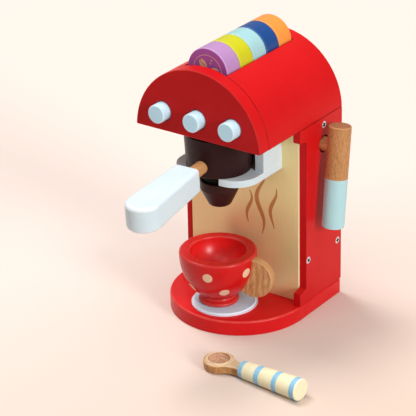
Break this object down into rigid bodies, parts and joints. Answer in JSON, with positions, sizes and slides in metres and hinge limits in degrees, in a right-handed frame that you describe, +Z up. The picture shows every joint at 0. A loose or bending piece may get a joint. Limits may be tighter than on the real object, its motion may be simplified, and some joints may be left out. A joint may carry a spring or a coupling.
{
  "type": "toy coffee maker",
  "caption": "Wooden toy coffee maker on a round-fronted base: arched head with capsule row and push buttons, pull-out filter on a fork, side lever, toy cup and scoop.",
  "frame": {"origin": "on the table at the centre of the base's round front", "axes": "+X to the right seen from the front, +Y to the back, +Z up"},
  "size_m": [0.2073, 0.2324, 0.2627],
  "materials": {
    "red_lacquer": "satin red lacquer on wood",
    "printed_gold": "gold and beige print under satin lacquer on wood",
    "plain_wood": "plain sanded beech",
    "pale_blue_lacquer": "satin pale blue lacquer on wood",
    "tray_lacquer": "satin light blue-grey lacquer on thin plywood",
    "brown_lacquer": "satin dark brown lacquer on turned wood",
    "lever_two_tone": "plain wood with an aqua lacquered lower part",
    "screw_steel": "bright zinc-plated steel",
    "lilac_lacquer": "satin lilac lacquer with a dark purple printed face",
    "yellow_lacquer": "satin yellow-green lacquer",
    "aqua_lacquer": "satin aqua lacquer",
    "blue_lacquer": "satin blue lacquer",
    "orange_lacquer": "satin orange lacquer",
    "cream_lacquer": "satin cream lacquer with light blue bands"
  },
  "bodies": {
    "machine": {"base_board": "red_lacquer", "drip_tray": "tray_lacquer", "side_panel_left": "red_lacquer", "side_panel_right": "red_lacquer", "printed_panel": "printed_gold", "rear_panel": "red_lacquer", "top_rail": "plain_wood", "side_screws": "screw_steel", "base_screws": "screw_steel", "head_screws": "screw_steel", "fascia_plate": "red_lacquer", "head_cover": "red_lacquer", "head_back_plate": "red_lacquer", "head_floor": "plain_wood", "pod_cradle": "plain_wood", "button_guide": "plain_wood", "cradle_rib": "plain_wood", "fork_plate": "pale_blue_lacquer", "fork_cheek_left": "pale_blue_lacquer", "fork_cheek_right": "pale_blue_lacquer", "fork_pins": "plain_wood", "button_spring_left": "screw_steel", "button_spring_middle": "screw_steel", "button_spring_right": "screw_steel"},
    "button_left": {"button_left": "pale_blue_lacquer"},
    "button_middle": {"button_middle": "pale_blue_lacquer"},
    "button_right": {"button_right": "pale_blue_lacquer"},
    "spout": {"filter_spout": "brown_lacquer"},
    "filter": {"filter_cup": "brown_lacquer", "filter_dowel": "plain_wood", "filter_handle": "pale_blue_lacquer"},
    "lever": {"lever_grip": "lever_two_tone", "lever_peg": "plain_wood", "lever_washer": "screw_steel", "lever_screw": "screw_steel"},
    "pod_1": {"pod_1": "lilac_lacquer"},
    "pod_2": {"pod_2": "yellow_lacquer"},
    "pod_3": {"pod_3": "aqua_lacquer"},
    "pod_4": {"pod_4": "blue_lacquer"},
    "pod_5": {"pod_5": "orange_lacquer"},
    "cup": {"cup_bowl": "red_lacquer", "cup_handle": "plain_wood", "cup_handle_pin": "plain_wood"},
    "scoop": {"scoop_bowl": "plain_wood", "scoop_grip": "cream_lacquer"}
  },
  "joints": [
    {"name": "press_left", "type": "slide", "parent": "machine", "child": "button_left", "axis": [0, 1, 0], "range_m": [0, 0.005], "stiffness_N_per_m": 250, "springref_m": -0.004, "deforming": ["button_spring_left"]},
    {"name": "press_middle", "type": "slide", "parent": "machine", "child": "button_middle", "axis": [0, 1, 0], "range_m": [0, 0.005], "stiffness_N_per_m": 250, "springref_m": -0.004, "deforming": ["button_spring_middle"]},
    {"name": "press_right", "type": "slide", "parent": "machine", "child": "button_right", "axis": [0, 1, 0], "range_m": [0, 0.005], "stiffness_N_per_m": 250, "springref_m": -0.004, "deforming": ["button_spring_right"]},
    {"name": "filter_pull", "type": "slide", "parent": "machine", "child": "spout", "axis": [0, -1, 0], "range_m": [0, 0.07]},
    {"name": "filter_turn", "type": "hinge", "parent": "spout", "child": "filter", "pos_m": [0, -0.031, 0.15], "axis": [0, 0, 1], "range_deg": [-80, 70]},
    {"name": "lever_turn", "type": "hinge", "parent": "machine", "child": "lever", "pos_m": [0.08, 0.0375, 0.1595], "axis": [1, 0, 0], "continuous": true},
    {"name": "pod_1_lift", "type": "slide", "parent": "machine", "child": "pod_1", "axis": [0, 0, 1], "range_m": [0, 0.05]},
    {"name": "pod_2_lift", "type": "slide", "parent": "machine", "child": "pod_2", "axis": [0, 0, 1], "range_m": [0, 0.05]},
    {"name": "pod_3_lift", "type": "slide", "parent": "machine", "child": "pod_3", "axis": [0, 0, 1], "range_m": [0, 0.05]},
    {"name": "pod_4_lift", "type": "slide", "parent": "machine", "child": "pod_4", "axis": [0, 0, 1], "range_m": [0, 0.05]},
    {"name": "pod_5_lift", "type": "slide", "parent": "machine", "child": "pod_5", "axis": [0, 0, 1], "range_m": [0, 0.05]},
    {"name": "cup_take", "type": "slide", "parent": "machine", "child": "cup", "axis": [0, -0.9659, 0.2588], "range_m": [0, 0.06]},
    {"name": "scoop_lift", "type": "slide", "parent": "machine", "child": "scoop", "axis": [0, 0, 1], "range_m": [0, 0.05]}
  ]
}
